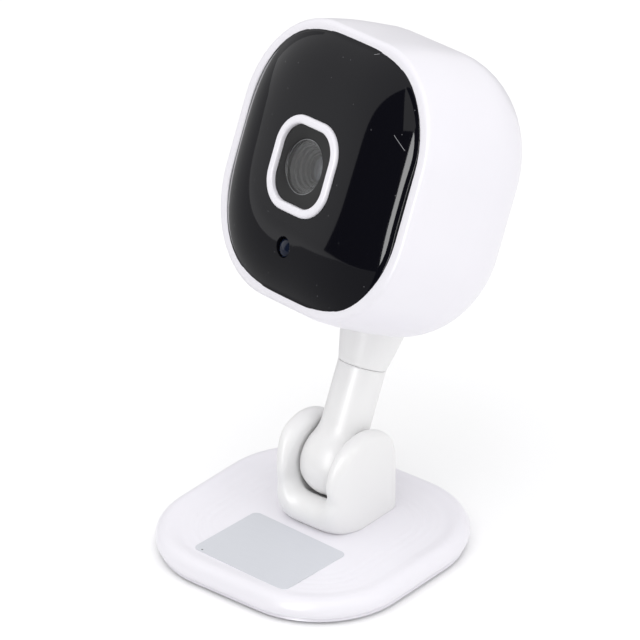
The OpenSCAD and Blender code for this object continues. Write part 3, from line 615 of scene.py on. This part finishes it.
# %% Light sensor
SENSOR_R, CAP_SINK, CAP_HIGH, SENSOR_SUNK = 2.1, 1.15, 0.95, 0.2
SENSOR_HOLE_R, GROOVE_OUT, GROOVE_IN, GROOVE_CLEAR = 2.25, 3.40, 3.05, 1.0
sensor_low, sensor_high = span("light_sensor", head_axes)
sensor_at = (0, middle("light_sensor", head_axes)[1])
sensor_top = sensor_high[2] + SENSOR_SUNK
reach_there = -sensor_at[1] / (panel_w / 2)
dome_slope = PANEL_DOME * DOME_POWER * reach_there ** (DOME_POWER - 1) / (panel_w / 2)


def groove_ring(radius, level):
    """A ring round the light sensor, tilted to lie along the dome."""
    ring = round_ring(radius, sensor_top + level, sensor_at)
    ring[:, 2] += dome_slope * (ring[:, 1] - sensor_at[1])
    return ring


groove = [groove_ring(GROOVE_OUT, GROOVE_CLEAR), groove_ring(GROOVE_OUT, -0.05)]
groove += [groove_ring(GROOVE_IN, -0.16), groove_ring(GROOVE_IN, GROOVE_CLEAR)]
groove_cutter = make("peg", *loft(groove, closed=True), head_axes)
hole_cutter = peg(SENSOR_HOLE_R, panel_back - 1, ring_face + 2, sensor_at, head_axes)
cut(panel, [hole_cutter, groove_cutter], 40)
dress(panel, "head", "panel_black", "front_panel")
cap = [(math.sin(math.radians(a)), math.cos(math.radians(a))) for a in (90, 75, 60, 45, 30, 15, 4)]
cap_rings = [round_ring(SENSOR_R * s, sensor_top - CAP_SINK + CAP_HIGH * c, sensor_at) for s, c in cap]
sensor_rings = [round_ring(SENSOR_R, sensor_low[2], sensor_at)] + cap_rings
sensor = make("light_sensor_dome", *loft(sensor_rings), head_axes, 60)
dress(sensor, "head", "sensor_blue", "light_sensor")

# %% [markdown]
# ## Lens ring, bezel and barrel
# A white ring stands a little out of the panel. Inside it a black bezel lies one millimetre deeper,
# with a round window. Behind the window the lens barrel steps inwards, ring by ring, to its glass.

# %% Lens ring
RING_ROUND, RING_INNER = 0.75, 0.55
ring_back = span("lens_ring", head_axes)[0][2]
ring_profile = [(0, ring_back), (0, ring_face - 1.6)]
ring_profile += turn_out(RING_ROUND, ring_face - RING_ROUND, RING_ROUND, 0, 90)
ring_profile += turn(RING_BAND - RING_INNER, ring_face - RING_INNER, RING_INNER, 90, 0, 6)
ring_profile += [(RING_BAND, ring_back)]
ring_rings = [square_ring(RING_W, RING_W, RING_CORNER, inset, level) for inset, level in ring_profile]
lens_ring = make("lens_ring_moulding", *loft(ring_rings, closed=True), head_axes)
dress(lens_ring, "head", "shell_white", "lens_ring")

# %% Lens bezel
bezel_corner = RING_CORNER - RING_BAND - 0.05
window_low, window_high = span("lens_window", head_axes)
window_face, window_r = window_high[2], window_high[0]
HOLE_R, HOLE_ROUND, BEZEL_EDGE = 5.8, 0.3, 0.15
seat_r = window_r + 0.02
bezel_profile = [(0, bezel_back), (0, bezel_face - BEZEL_EDGE), (BEZEL_EDGE, bezel_face)]
bezel_rings = [square_ring(bezel_side, bezel_side, bezel_corner, inset, z) for inset, z in bezel_profile]
for a in np.linspace(0, math.pi / 2, 5):
    rolled_r = HOLE_R + HOLE_ROUND - HOLE_ROUND * math.sin(a)
    bezel_rings.append(round_ring(rolled_r, bezel_face - HOLE_ROUND + HOLE_ROUND * math.cos(a)))
seat = [(HOLE_R, window_face), (seat_r, window_face), (seat_r, bezel_back)]
bezel_rings += [round_ring(radius, level) for radius, level in seat]
bezel = make("lens_bezel_plate", *loft(bezel_rings, closed=True), head_axes)
dress(bezel, "head", "black_plastic", "lens_bezel")

# %% Window and barrel
PANE_EDGE, BARREL_EDGE = 0.1, 0.2
window_back, inner_r = window_low[2], window_r - PANE_EDGE
pane = [(inner_r, window_back), (window_r, window_back + PANE_EDGE)]
pane += [(window_r, window_face - PANE_EDGE), (inner_r, window_face)]
window_rings = [round_ring(radius, level) for radius, level in pane]
window = make("lens_window_pane", *loft(window_rings), head_axes)
dress(window, "head", "window_clear", "lens_window")
rim_out, rim_in = window_r - 0.28, window_r - 0.40
rim_low, rim_high = window_face - 0.03, window_face + 0.08
rim_profile = [(rim_out, rim_low), (rim_out, rim_high), (rim_in, rim_high), (rim_in, rim_low)]
rim_rings = [round_ring(radius, level) for radius, level in rim_profile]
rim = make("lens_window_rim", *loft(rim_rings, closed=True), head_axes)
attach(rim, "head")
rim.data.materials.append(finishes["steel"])
barrel_low, barrel_high = span("lens_barrel", head_axes)
barrel_back, barrel_face, barrel_r = barrel_low[2], barrel_high[2], barrel_high[0]
steps = [(5.3, 0.0), (5.2, 0.9), (4.7, 1.0), (4.62, 1.8), (4.1, 1.9), (4.02, 2.7), (3.5, 2.8), (3.42, 3.4)]
barrel_rings = [round_ring(barrel_r, barrel_back), round_ring(barrel_r, barrel_face - BARREL_EDGE)]
barrel_rings += [round_ring(barrel_r - BARREL_EDGE, barrel_face)]
barrel_rings += [round_ring(radius, barrel_face - depth) for radius, depth in steps]
barrel_rings += [round_ring(3.0, barrel_face - 3.4), round_ring(3.0, barrel_back)]
barrel = make("lens_barrel_turned", *loft(barrel_rings, closed=True), head_axes, 20)
dress(barrel, "head", "black_plastic", "lens_barrel")

# %% [markdown]
# ## Base
# The base is pressed from the same white plastic. Its rim is rolled like a cushion and falls into a
# shallow dish, where the mould left faint steps that run round parallel to the rim.

# %% Base cover
FOOT_INSET, ROLL, RIPPLE = 0.9, (base_h - pad_t) / 2, 0.045
RIPPLE_FROM, RIPPLE_SPAN, RIPPLE_STEP, RIPPLE_WAVE = RIM_W + 1.7, 7.9, 0.38, 1.9
DIP_PAST, DISH_PAST, UNDER_INSET, FLOOR_T = 1.2, 10.0, 2.5, 1.6
mid_z = (base_h + pad_t) / 2
dip = np.linspace(0, 1, 11)[1:]
base_profile = [(FOOT_INSET, pad_t)] + turn_out(ROLL, mid_z, ROLL, -58, 90, 22)
for t in dip:
    fall = DISH_DROP * (0.5 - 0.5 * math.cos(math.pi * t))
    base_profile.append((ROLL + (RIM_W + DIP_PAST - ROLL) * t, base_h - fall))
for inset in np.arange(RIPPLE_FROM, RIPPLE_FROM + RIPPLE_SPAN, RIPPLE_STEP):
    run = inset - RIPPLE_FROM
    fade = math.sqrt(math.sin(math.pi * run / RIPPLE_SPAN))
    swell = 1 - math.cos(2 * math.pi * run / RIPPLE_WAVE)
    base_profile.append((inset, dish_z - RIPPLE * fade * swell))
base_profile.append((RIM_W + DISH_PAST, dish_z))
base_profile = base_profile[::-1] + [(UNDER_INSET, pad_t), (UNDER_INSET, dish_z - FLOOR_T)]
base_rings = [square_ring(base_w, base_w, BASE_CORNER, inset, level) for inset, level in base_profile]
points, faces = loft(base_rings)
base = make("base_cover_moulding", points, [face[::-1] for face in faces], room)
dress(base, "base", "shell_white", "base_cover")

# %% Label
label_low, label_high = span("label", room)
LABEL_LEN, LABEL_WID, LABEL_TURN = 26.0, 19.8, math.radians(-3)
LABEL_CORNER, LABEL_EDGE = 1.5, 0.04
label_at = Matrix.Translation(middle("label", room) * (MM, MM, 0))
label_at = label_at @ Matrix.Rotation(LABEL_TURN, 4, "Z") @ Matrix.Scale(MM, 4)
label_profile = [(0, label_low[2]), (0, label_high[2] - LABEL_EDGE), (LABEL_EDGE, label_high[2])]
label_rings = [square_ring(LABEL_LEN, LABEL_WID, LABEL_CORNER, inset, z) for inset, z in label_profile]
label = make("label_foil", *loft(label_rings), label_at)
dress(label, "base", "label_silver", "label")

# %% [markdown]
# ## Shapes from distances
# A distance function says how far a point lies outside a solid. The larger of two is where both solids
# are, and a rounded form of "larger" gives a rolled edge of any radius. To get a mesh, the function is
# measured on a grid, each grid cell that the surface crosses gets one point, and cells that share a
# crossed edge are joined. A few steps down the slope then put every point exactly on the surface.

# %% Sums on distances
def both(a, b, radius):
    """Where both solids are, with its edge rounded."""
    outside = np.hypot(np.maximum(a + radius, 0), np.maximum(b + radius, 0))
    return np.minimum(np.maximum(a, b), -radius) + outside


def either(a, b, radius):
    """Where either solid is, with the corner between them filled."""
    return -both(-a, -b, radius)


def slab(x, y, half_x, half_y, corner):
    dx, dy = np.abs(x) - half_x + corner, np.abs(y) - half_y + corner
    return np.hypot(np.maximum(dx, 0), np.maximum(dy, 0)) + np.minimum(np.maximum(dx, dy), 0) - corner


# %% From a distance function to a mesh
def sculpt(distance, low, high, cell):
    low, high = np.array(low, float) - 1.5 * cell, np.array(high, float) + 1.5 * cell
    counts = np.ceil((high - low) / cell).astype(int) + 1
    lines = [low[k] + cell * np.arange(counts[k]) for k in range(3)]
    grid = np.stack(np.meshgrid(*lines, indexing="ij"), -1).reshape(-1, 3)
    field = distance(*grid.T).reshape(counts)
    cells = tuple(counts - 1)
    total, hits = np.zeros(cells + (3,)), np.zeros(cells)
    for axis in range(3):
        for offset in np.ndindex(2, 2):
            start = list(offset[:axis]) + [0] + list(offset[axis:])
            end = list(start)
            end[axis] = 1
            a = field[tuple(slice(s, s + n) for s, n in zip(start, cells))]
            b = field[tuple(slice(s, s + n) for s, n in zip(end, cells))]
            crossed = (a < 0) != (b < 0)
            where = np.tile(np.array(start, float), (int(crossed.sum()), 1))
            where[:, axis] = a[crossed] / (a[crossed] - b[crossed])
            total[crossed] += where
            hits[crossed] += 1
    used = hits > 0
    number = np.full(cells, -1)
    number[used] = np.arange(used.sum())
    points = low + cell * (np.argwhere(used) + total[used] / hits[used][:, None])
    faces = []
    for axis in range(3):
        u, v = (axis + 1) % 3, (axis + 2) % 3
        inside = field < 0
        here = np.take(inside, range(counts[axis] - 1), axis)
        crossed = np.argwhere(here != np.take(inside, range(1, counts[axis]), axis))
        crossed = crossed[(crossed[:, u] > 0) & (crossed[:, v] > 0)]
        crossed = crossed[(crossed[:, u] < cells[u]) & (crossed[:, v] < cells[v])]
        corners = []
        for du, dv in ((-1, -1), (0, -1), (0, 0), (-1, 0)):
            at = crossed.copy()
            at[:, u] += du
            at[:, v] += dv
            corners.append(number[tuple(at.T)])
        quads = np.stack(corners, 1)
        outward = here[tuple(crossed.T)]
        quads[~outward] = quads[~outward][:, ::-1]
        faces.append(quads)
    return settle(distance, points, cell), np.vstack(faces)


def settle(distance, points, cell):
    """Moves points down the slope onto the surface, by at most one cell in all."""
    start, step = points.copy(), 0.004
    for _ in range(5):
        here = distance(*points.T)
        ahead = np.stack([distance(*(points + step * way).T) for way in np.eye(3)], 1)
        behind = np.stack([distance(*(points - step * way).T) for way in np.eye(3)], 1)
        slope = (ahead - behind) / (2 * step)
        points = points - (here / np.maximum((slope ** 2).sum(1), 0.25))[:, None] * slope
        points = start + np.clip(points - start, -cell, cell)
    return points


# %% [markdown]
# ## Yoke
# Two cheeks like rounded tombstones hold the arm. Their crests are rolled right over, the slot between
# them has a round-bottomed pocket for the ball, and the lip in front of the pocket is rolled most.

# %% Yoke
CELL = 0.3
CHEEK_R, SADDLE_R, CREST = yoke_d / 2, knuckle_r + 0.5, 1.7
PLAN_CORNER, BACK_CORNER = 8.6, 5.0
ROLL_HIGH, ROLL_DEEP, ROLL_STEEP = 8.0, 4.6, 0.93
CHIN_FROM, CHIN_OVER, SADDLE_SHARE = 3, 8, 0.72
POCKET_CORNER, GAP_CORNER, GAP_HALF, LIP_OVER = 3.4, 5.0, 18, 5
SCREW_POCKET_R, SCREW_POCKET_DEEP, NUT_POCKET_R, NUT_AT, NUT_HALF = 3.1, 2, 2.42, 1.57, 1.58
yoke_half = yoke_w / 2
yoke_low, yoke_high = span("yoke", pin_up)
yoke_mid, cheek_z = (yoke_low[1] + yoke_high[1]) / 2, yoke_high[2] - CHEEK_R


def yoke_distance(x, y, z):
    up = z - pin_z
    low_down = np.clip(1 - (z - dish_z) / ROLL_HIGH, 0, 1)
    chin = ROLL_DEEP * (1 - np.sqrt(1 - (ROLL_STEEP * low_down) ** 2))
    front = y - yoke_mid - chin * np.clip((CHIN_FROM - y) / CHIN_OVER, 0, 1)
    corner = np.where(front > 0, BACK_CORNER, PLAN_CORNER)
    plan = slab(x, front, yoke_half, CHEEK_R + CREST, corner)
    tombstone = np.hypot(front, np.maximum(z - cheek_z, 0)) - CHEEK_R
    solid = both(both(plan, tombstone, CREST), dish_z - z, 0.15)
    from_pin = np.hypot(y, up)
    pocket = slab(x, from_pin, SLOT_HALF, SADDLE_R, POCKET_CORNER)
    gap_floor = -SADDLE_R * SADDLE_SHARE
    gap = slab(x, up - gap_floor - GAP_HALF, SLOT_HALF, GAP_HALF, GAP_CORNER)
    low = np.clip(-up / LIP_OVER, 0, 1)
    solid = both(solid, -either(pocket, gap, 0.4), 2.2 + 2.4 * low * low * (3 - 2 * low))
    screw_pocket = np.maximum(from_pin - SCREW_POCKET_R, x + yoke_half - SCREW_POCKET_DEEP)
    nut_pocket = np.maximum(from_pin - NUT_POCKET_R, np.abs(x - SLOT_HALF - NUT_AT) - NUT_HALF)
    bore = np.maximum(from_pin - PIN_HOLE_R, x)
    for hole in (screw_pocket, nut_pocket, bore):
        solid = both(solid, -hole, 0.3)
    return solid


yoke_points, yoke_faces = sculpt(yoke_distance, yoke_low, yoke_high, CELL)
yoke = make("yoke_moulding", yoke_points, yoke_faces, pin_up, 60)
dress(yoke, "base", "stand_white", "yoke")

# %% [markdown]
# ## Arm
# The arm is a smooth tube that swells into a ball, with a hollow fillet that touches both. Two flats on
# the ball leave room for the friction washers.

# %% Arm
FILLET_X = ARM_R + FILLET_R
FILLET_Z = math.sqrt((knuckle_r + FILLET_R) ** 2 - FILLET_X ** 2)
KNUCKLE_HALF = SLOT_HALF - 0.5
SCREW_HOLE_R, SCREW_HOLE_DEEP, FLAT_SHARE = 1.27, 12, 0.95
spigot_top = arm_high[2]


def arm_distance(x, y, z):
    out = np.hypot(x, y)
    ball = np.hypot(out, z) - knuckle_r
    fillet = FILLET_R - np.hypot(out - FILLET_X, z - FILLET_Z)
    high = z * FILLET_X > out * FILLET_Z
    solid = np.where(z > FILLET_Z, out - ARM_R, np.where(high, fillet, ball))
    solid = both(solid, z - ARM_LEN, 0.1)
    beside = np.maximum(KNUCKLE_HALF - np.abs(x), np.abs(z) - knuckle_r * FLAT_SHARE)
    solid = both(solid, -beside, 0.4)
    solid = both(solid, PIN_HOLE_R - np.hypot(y, z), 0.3)
    spigot = both(out - SPIGOT_R, np.abs(z - ARM_LEN) - (spigot_top - ARM_LEN), 0.2)
    solid = np.minimum(solid, spigot)
    return np.maximum(solid, -np.maximum(out - SCREW_HOLE_R, spigot_top - SCREW_HOLE_DEEP - z))


arm_box = (-knuckle_r, -knuckle_r, -knuckle_r), (knuckle_r, knuckle_r, spigot_top)
arm_points, arm_faces = sculpt(arm_distance, *arm_box, CELL)
arm = make("arm_moulding", arm_points, arm_faces, arm_axes, 60)
dress(arm, "arm", "stand_white", "arm")

# %% [markdown]
# ## Neck
# The neck is a separate collar. A fine seam parts it from the arm, it flares as it climbs, and its top
# is cut to the curve of the head, with a small rolled lip where the two meet.

# %% Neck
NECK_R, NECK_BASE, SEAM_FILL, NECK_CELL = 7.4, neck_low[2], 0.05, 0.28
SOCKET_DEEP, CAVITY_R, CAVITY_FROM = 3.05, 3.9, 3
climb = head_rise - head_h / 2 + 1.5 - NECK_BASE


def head_distance(x, y, z):
    side = slab(x, z - head_rise, head_w / 2, head_h / 2, HEAD_CORNER)
    return both(side, y - axis_depth, BACK_ROUND)


def neck_distance(x, y, z):
    out, t = np.hypot(x, y), np.clip((z - NECK_BASE) / climb, -0.2, 1)
    radius = ARM_R + (NECK_R - ARM_R) * t * (1.15 - 0.15 * t)
    solid = both(out - radius, NECK_BASE - SEAM_FILL - z, 0.08)
    solid = both(solid, z - neck_high[2], 0.8)
    solid = both(solid, -head_distance(x, y, z), 0.25)
    bore = np.maximum(out - SPIGOT_R - SPIGOT_GAP, z - NECK_BASE - SOCKET_DEEP)
    cavity = np.maximum(out - CAVITY_R, NECK_BASE + CAVITY_FROM - z)
    return np.maximum(solid, -np.minimum(bore, cavity))


neck_box = (-NECK_R, -NECK_R, NECK_BASE), (NECK_R, NECK_R, neck_high[2])
neck_points, neck_faces = sculpt(neck_distance, *neck_box, NECK_CELL)
neck = make("neck_collar", neck_points, neck_faces, neck_axes, 60)
dress(neck, "head", "stand_white", "neck")

# %% [markdown]
# ## Reset button
# A small button sits in the back. Its cap is slightly hollow, for a fingertip.

# %% Reset button
cap_r, stem_r, flange_r, flange_z = 2.0, 1.2, 2.9, SHELL_WALL + 0.1
button_profile = [(0.4, 0.16), (1.2, 0.12), (1.6, 0.02), (cap_r - 0.1, 0.0), (cap_r, 0.12)]
button_rings = [round_ring(radius, button_low[2] + drop, button_at) for radius, drop in button_profile]
stem = [(cap_r, flange_z), (flange_r, flange_z), (flange_r, flange_z + 1), (stem_r, flange_z + 1)]
stem += [(stem_r, button_high[2])]
button_rings += [round_ring(radius, level, button_at) for radius, level in stem]
button = make("reset_button_cap", *loft(button_rings), head_axes)
dress(button, "button", "stand_white", "reset_button")

# %% [markdown]
# ## Floor, light and reflections
# A glossy black dome shows its surroundings more than its own colour. In a white studio it looks dark
# grey, and a black card beside it draws a black patch. The cards here are seen only in reflections, so
# they shade nothing, and neither does the dark sheet that stands for a table. A large soft light from
# above does most of the work.

# %% Floor and world
floor_mesh = bpy.data.meshes.new("floor")
FLOOR_HALF = 2.5
floor_corners = [(x * FLOOR_HALF, y * FLOOR_HALF, 0) for x, y in ((-1, -1), (1, -1), (1, 1), (-1, 1))]
floor_mesh.from_pydata(floor_corners, [], [(0, 1, 2, 3)])
floor = bpy.data.objects.new("floor", floor_mesh)
bpy.context.scene.collection.objects.link(floor)
floor_finish = Finish("floor", Roughness=0.9, Specular_IOR_Level=0.1)
floor_colour = floor_finish.mix(floor_finish.noise(60), (0.97, 0.97, 0.97), (0.955, 0.955, 0.96))
floor_finish.set(Base_Color=floor_colour)
floor.data.materials.append(floor_finish.material)
world = bpy.data.worlds.new("studio")
world.use_nodes = True
sky = next(n for n in world.node_tree.nodes if n.type == "BACKGROUND")
sky.inputs["Color"].default_value = (1, 1, 1, 1)
sky.inputs["Strength"].default_value = 0.84
bpy.context.scene.world = world
bpy.context.scene.view_settings.view_transform = "Standard"
print("floor and world ready")


# %% Soft lights
def softbox(name, azimuth, elevation, distance, width, height, power):
    away = direction(azimuth, elevation)
    light = bpy.data.lights.new(name, "AREA")
    light.shape, light.size, light.size_y, light.energy = "RECTANGLE", width, height, power
    lamp = bpy.data.objects.new(name, light)
    lamp.location = Vector((0, 0, 0.06)) + away * distance
    lamp.rotation_euler = away.to_track_quat("Z", "Y").to_euler()
    bpy.context.scene.collection.objects.link(lamp)
    return lamp


softbox("top", 20, 72, 0.9, 1.0, 1.0, 3.3)
softbox("left", -60, 35, 1.0, 0.5, 0.9, 0.3).visible_glossy = False
softbox("right", 95, 25, 1.0, 0.6, 0.9, 1.2)


# %% Cards that only reflections see
def flat_sheet(name, corners, level):
    """A glowing sheet that only reflections see."""
    mesh = bpy.data.meshes.new(name)
    mesh.from_pydata(corners, [], [tuple(range(len(corners)))])
    sheet = bpy.data.objects.new(name, mesh)
    bpy.context.scene.collection.objects.link(sheet)
    paint = bpy.data.materials.new(name)
    paint.use_nodes = True
    paint.node_tree.nodes.clear()
    glow = paint.node_tree.nodes.new("ShaderNodeEmission")
    glow.inputs["Strength"].default_value = level
    end = paint.node_tree.nodes.new("ShaderNodeOutputMaterial")
    paint.node_tree.links.new(glow.outputs[0], end.inputs["Surface"])
    mesh.materials.append(paint)
    sheet.visible_camera = sheet.visible_diffuse = sheet.visible_shadow = False
    sheet.visible_transmission = False
    return sheet


def card(name, azimuth, elevation, width_deg, height_deg, level, tilt=0.0, distance=1.2):
    """An upright sheet facing the head, given by where the head sees it."""
    away = direction(azimuth, elevation)
    half_w, half_h = (distance * math.tan(math.radians(d / 2)) for d in (width_deg, height_deg))
    corners = [(x * half_w, y * half_h, 0) for x, y in ((-1, -1), (1, -1), (1, 1), (-1, 1))]
    sheet = flat_sheet(name, corners, level)
    sheet.location = Vector(head_origin) + away * distance
    turned = away.to_track_quat("Z", "Y").to_matrix()
    sheet.rotation_euler = (turned @ Matrix.Rotation(math.radians(tilt), 3, "Z")).to_euler()
    return sheet


card("black_flag", -18, 20, 61, 84, 0.0, tilt=-16)
card("front_strip", 11, 20, 15, 56, 14.0, distance=1.1)
card("dark_wall", -128, 6, 50, 46, 0.45)
# The table lies just over the floor; its far edge is the line low in the dome
table_edge = [(0.3, -1.4), (-0.77, -0.95), (-0.64, -0.354), (-0.41, -0.20), (-2.0, -0.1)]
table_edge += [(-2.0, 2.0), (-0.05, 2.0), (-0.05, -0.05), (0.3, -0.05)]
TABLE_Z = 0.0005
flat_sheet("dark_table", [(x, y, TABLE_Z) for x, y in reversed(table_edge)], 0.38)
print("lights and cards ready")
